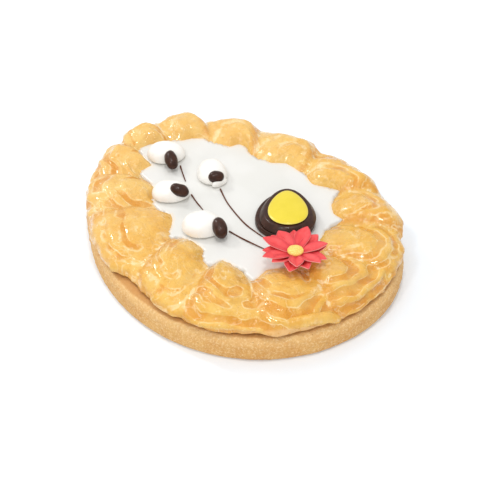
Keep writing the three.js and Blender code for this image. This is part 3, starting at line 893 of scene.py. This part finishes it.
class Finish:
    """A material made from nodes. Colours are given as they look on a screen, 0 to 255."""

    def __init__(self, name):
        self.material = bpy.data.materials.new(name)
        self.material.use_nodes = True
        self.tree = self.material.node_tree
        self.shader = self.tree.nodes["Principled BSDF"]
        self.where = self.add("ShaderNodeTexCoord", out="Object")

    def feed(self, socket, value):
        if isinstance(value, Field):
            self.tree.links.new(value.socket, socket)
        elif isinstance(value, tuple) and socket.type == "RGBA":
            socket.default_value = (*linear(value), 1)
        else:
            socket.default_value = value

    def add(self, kind, settings=None, inputs=None, out=0):
        node = self.tree.nodes.new(kind)
        for key, value in (settings or {}).items():
            setattr(node, key, value)
        for key, value in (inputs or {}).items():
            self.feed(node.inputs[key], value)
        return Field(self, node.outputs[out])

    def noise(self, size, detail=2.0, rough=0.55, bend=0.0):
        """Cloudy noise, 0 to 1, with bumps about size millimetres apart."""
        inputs = {"Vector": self.where, "Scale": 1 / (size * MM), "Detail": detail, "Roughness": rough,
                  "Distortion": bend}
        return self.add("ShaderNodeTexNoise", {"noise_dimensions": "3D"}, inputs)

    def lines(self, size, width, bend=0.0):
        """Thin wandering lines, 1 on the line, where cloudy noise passes its middle value."""
        return 1 - abs(self.noise(size, 2, 0.5, bend) - 0.5).above(0.2 * width, width)

    def cells(self, size):
        """Distance from the nearest of many scattered points about size millimetres apart."""
        inputs = {"Vector": self.where, "Scale": 1 / (size * MM)}
        return self.add("ShaderNodeTexVoronoi", {"feature": "F1"}, inputs, out="Distance")

    def coordinate(self, axis):
        """Where the point lies along X, Y or Z, in metres."""
        return self.add("ShaderNodeSeparateXYZ", None, {"Vector": self.where}, out=axis)

    def kept(self, name):
        """A number that the mesh keeps for each point."""
        return self.add("ShaderNodeAttribute", {"attribute_name": name}, out="Fac")

    def mix(self, share, first, second):
        """The first colour, turning into the second as share goes from 0 to 1."""
        share_socket, first_colour, second_colour, colour_out = 0, 6, 7, 2
        inputs = {share_socket: share, first_colour: first, second_colour: second}
        return self.add("ShaderNodeMix", {"data_type": "RGBA"}, inputs, out=colour_out)

    def relief(self, height, depth, below=None):
        """Bumps of this depth in millimetres, over an earlier relief."""
        inputs = {"Height": height, "Distance": depth * MM, "Strength": 1.0}
        if below is not None:
            inputs["Normal"] = below
        return self.add("ShaderNodeBump", None, inputs)

    def set(self, **values):
        for key, value in values.items():
            self.feed(self.shader.inputs[key.replace("_", " ")], value)
        return self.material


def linear(colour):
    """A screen colour, 0 to 255, as the light it stands for."""
    return tuple(c / 255 / 12.92 if c <= 10.3 else ((c / 255 + 0.055) / 1.055) ** 2.4 for c in colour)


def glazed_dough_finish():
    f = Finish("glazed_dough")
    groove, meet, flank, way = f.kept("groove"), f.kept("meet"), f.kept("flank"), f.kept("way")
    blots = f.noise(5, 3, 0.6)
    # golden dough, paler and browner in broad patches
    colour = f.mix(f.noise(9, 3, 0.6).above(0.36, 0.64), (229, 185, 94), (221, 167, 66))
    colour = f.mix(f.noise(4, 3, 0.6, 0.8).above(0.56, 0.7) * 0.6, colour, (240, 206, 142))
    # the far half painted paler: partly a whitish film of glaze, partly a painted sheen of the white
    # surroundings at grazing angles
    far = f.coordinate("Y").above(-30 * MM, 60 * MM)
    colour = f.mix(far * 0.25, colour, (240, 208, 148))
    colour = f.mix(f.kept("tone") * 0.35, colour, (226, 166, 66))
    # deeper orange in the grooves, on a rosette's steep side and on the outer walls: partly glaze pooled in
    # the grooves and deeper browning, partly painted shade in the grooves, on the steep sides and on walls
    # that face sideways
    bands = (groove + blots * 0.5).above(0.72, 0.86)
    uneven = f.noise(9, 2).above(0.4, 0.6)
    colour = f.mix(bands * (0.45 + uneven * 0.4), colour, (212, 140, 32))
    colour = f.mix(f.kept("steep") * blots.above(0.3, 0.5) * 0.7, colour, (212, 142, 38))
    # walls that face sideways, by their slope: deeper browning and painted shade
    wall = flank.above(0.25, 0.75) * (1 - way.above(0.4, 0.65))
    colour = f.mix(wall * blots.above(0.4, 0.6) * 0.6, colour, (210, 140, 42))
    # a pale film of glaze, gathered where rosettes meet, along the ridges and in torn lines
    gathered = (meet * 0.7 + f.kept("gentle") * 0.35 + f.noise(4, 3, 0.6, 1.0) * 0.7).above(0.72, 0.95)
    torn = f.lines(8, 0.025, 1.0) * f.noise(11, 1).above(0.48, 0.6)
    along_ridges = (1 - abs(groove - 0.42).above(0.04, 0.12)) * f.noise(6, 2).above(0.42, 0.55)
    film = gathered * 0.55 + torn * 0.3 + along_ridges * 0.4
    colour = f.mix(film, colour, (250, 229, 182))
    specks = (1 - f.cells(2.6).above(0.05, 0.11)) * f.noise(8, 1).above(0.52, 0.62)
    colour = f.mix(specks * 0.55, colour, (140, 84, 36))
    # the unglazed side above the gap, and painted shade on the gap's own roof under the lip
    bare = f.kept("bare") * f.noise(1.5, 2).above(0.25, 0.45)
    colour = f.mix(bare, colour, (228, 180, 116))
    colour = f.mix(1 - way.above(0.045, 0.085), colour, (170, 108, 46))
    relief = f.relief(f.noise(4.6, 2), 0.45)
    relief = f.relief(f.noise(2.0, 3, 0.55, 1.2), 0.5, relief)
    relief = f.relief(f.noise(0.6, 2), 0.04, relief)
    wet = (f.noise(7, 2) + meet * 0.15).above(0.42, 0.56) * (1 - bare)
    return f.set(Base_Color=colour, Roughness=0.42 - wet * 0.29, Coat_Weight=0.15 + wet * 0.55,
                 Coat_Roughness=0.05, Specular_IOR_Level=0.45, Normal=relief)


def crust_finish():
    f = Finish("shortcrust")
    height = f.coordinate("Z")
    up = height.above(6 * MM, 13 * MM)
    patches = f.noise(13, 3)
    sand = f.noise(0.9, 3, 0.65)
    colour = f.mix(patches.above(0.35, 0.65), (216, 166, 94), (207, 150, 76))
    colour = f.mix(up * 0.6, colour, (230, 190, 130))
    colour = f.mix(sand.above(0.46, 0.66) * 0.6, colour, (244, 210, 156))
    streaks = f.noise(5, 3, 0.6, 1.0).above(0.55, 0.7)
    colour = f.mix(streaks * 0.35, colour, (196, 134, 68))
    specks = (1 - f.cells(1.8).above(0.1, 0.2)) * f.noise(5, 1).above(0.5, 0.6)
    colour = f.mix(specks * 0.6, colour, (158, 104, 52))
    crumbs = (1 - f.cells(1.2).above(0.12, 0.24)) * f.noise(4, 1).above(0.5, 0.6)
    colour = f.mix(crumbs * 0.6, colour, (248, 224, 184))
    # painted shade on the base's top edge, under the dough's overhanging lip
    colour = f.mix(height.above(12.0 * MM, 12.8 * MM) * 0.75, colour, (192, 134, 68))
    relief = f.relief(f.noise(3, 2), 0.4)
    relief = f.relief(sand, 0.3, relief)
    relief = f.relief(f.cells(1.2), 0.14, relief)
    return f.set(Base_Color=colour, Roughness=0.75, Normal=relief)


def icing_finish():
    f = Finish("poured_icing")
    rim = f.kept("rim")
    colour = f.mix(f.noise(22, 2).above(0.35, 0.65), (220, 219, 214), (224, 223, 219))
    colour = f.mix(rim.above(0.25, 1.0) * 0.7, colour, (234, 216, 190))
    relief = f.relief(f.noise(7, 2), 0.12)
    return f.set(Base_Color=colour, Roughness=0.36, Coat_Weight=0.25, Coat_Roughness=0.2, Normal=relief)


def sugar_white_finish():
    f = Finish("white_sugar")
    colour = f.mix(f.noise(6, 2).above(0.35, 0.65), (230, 227, 221), (234, 232, 227))
    relief = f.relief(f.noise(1.2, 2), 0.02)
    # a faint glow painted in, a painted light that softens the catkins' shading
    return f.set(Base_Color=colour, Emission_Color=(255, 252, 246), Emission_Strength=0.07,
                 Roughness=0.42, Coat_Weight=0.15, Coat_Roughness=0.25, Normal=relief)


def chocolate_finish():
    f = Finish("dark_chocolate")
    colour = f.mix(f.noise(2.5, 3).above(0.4, 0.65), (48, 22, 9), (62, 31, 16))
    relief = f.relief(f.noise(1.6, 2), 0.06)
    smudge = f.noise(3, 2).above(0.35, 0.65)
    return f.set(Base_Color=colour, Roughness=0.3 + smudge * 0.15, Coat_Weight=0.12, Coat_Roughness=0.1,
                 Specular_IOR_Level=0.3, Normal=relief)


def twig_finish():
    f = Finish("milk_chocolate")
    colour = f.mix(f.noise(1.5, 2).above(0.4, 0.6), (84, 40, 18), (100, 52, 26))
    return f.set(Base_Color=colour, Roughness=0.45, Specular_IOR_Level=0.2,
                 Normal=f.relief(f.noise(0.6), 0.03))


def sugar_yellow_finish():
    f = Finish("yellow_sugar")
    colour = f.mix(f.noise(5, 2).above(0.35, 0.65), (222, 200, 42), (225, 203, 48))
    # a painted sheen: paler where the yolk slopes away at its rim
    colour = f.mix(f.kept("edge").above(0.05, 0.5) * 0.6, colour, (240, 230, 130))
    return f.set(Base_Color=colour, Roughness=0.34, Coat_Weight=0.2, Coat_Roughness=0.2,
                 Normal=f.relief(f.noise(6, 1), 0.04))


def coral_finish():
    f = Finish("coral_sugar")
    fine = f.noise(0.7, 2)
    colour = f.mix(f.noise(3, 2).above(0.35, 0.7), (228, 72, 74), (237, 88, 88))
    colour = f.mix(fine.above(0.6, 0.8) * 0.3, colour, (246, 130, 126))
    # painted shade in the crease, towards the edges and root, and on the heart under the button
    colour = f.mix(f.kept("petal_shade") * 0.75, colour, (196, 40, 54))
    # undersides painted pale: painted light where they lie in shade
    colour = f.mix(f.kept("under") * 0.6, colour, (255, 206, 196))
    return f.set(Base_Color=colour, Roughness=0.62, Normal=f.relief(fine, 0.06))


def gold_finish():
    f = Finish("gold_sugar")
    grains = f.cells(0.6)
    colour = f.mix(grains.above(0.2, 0.6), (246, 222, 134), (236, 200, 100))
    return f.set(Base_Color=colour, Roughness=0.7, Normal=f.relief(grains, 0.1))


# ---- the studio ----
def make_studio():
    """A plain pale floor, even daylight and five soft lamps."""
    clear_selection()
    bpy.ops.mesh.primitive_plane_add(size=STUDIO["floor"], location=(0, 0, -STUDIO["floor_drop"]))
    floor = bpy.context.object
    floor.name = "studio_floor"
    f = Finish("white_paper")
    floor.data.materials.append(f.set(Base_Color=(229, 236, 243), Roughness=0.9,
                                      Emission_Color=(255, 255, 255), Emission_Strength=0.11))
    world = bpy.data.worlds.new("studio")
    bpy.context.scene.world = world
    world.use_nodes = True
    daylight = world.node_tree.nodes["Background"].inputs
    daylight["Color"].default_value = (1, 1, 1, 1)
    daylight["Strength"].default_value = STUDIO["daylight"]
    for lamp in LAMPS:
        make_lamp(*lamp)
    scene = bpy.context.scene
    scene.view_settings.view_transform = "Standard"
    scene.view_settings.look = "None"


def make_lamp(name, at, size, power, mirrored):
    """A soft lamp that points at the cake."""
    light = bpy.data.lights.new(name, "AREA")
    light.shape = "RECTANGLE"
    light.size, light.size_y = size
    light.energy = power
    obj = bpy.data.objects.new(name, light)
    bpy.context.scene.collection.objects.link(obj)
    obj.location = at
    obj.rotation_mode = "QUATERNION"
    obj.rotation_quaternion = Vector(at).to_track_quat("Z", "Y")
    obj.visible_glossy = mirrored


def make_camera():
    """The photograph's view, from the left of the wide end and from above."""
    azimuth, elevation = math.radians(CAMERA["azimuth"]), math.radians(CAMERA["elevation"])
    back = Vector((math.sin(azimuth) * math.cos(elevation), -math.cos(azimuth) * math.cos(elevation),
                   math.sin(elevation)))
    target = Vector((0, MIDDLE_Y * MM, 0))
    camera = bpy.data.cameras.new("camera")
    camera.sensor_width = CAMERA["sensor"]
    camera.lens = CAMERA["lens"]
    camera.shift_x, camera.shift_y = (pixels / CAMERA["picture"] for pixels in CAMERA["shift"])
    obj = bpy.data.objects.new("camera", camera)
    bpy.context.scene.collection.objects.link(obj)
    obj.location = target + back * CAMERA["distance"]
    obj.rotation_mode = "QUATERNION"
    obj.rotation_quaternion = (-back).to_track_quat("-Z", "Y")
    bpy.context.scene.camera = obj


make_camera()
make_studio()
chocolate = chocolate_finish()
dough = make_border(glazed_dough_finish())
make_base(crust_finish())
make_icing(icing_finish(), dough)
make_catkins(sugar_white_finish(), chocolate)
make_twigs(twig_finish())
make_egg(chocolate, sugar_yellow_finish())
make_daisy(coral_finish(), gold_finish())
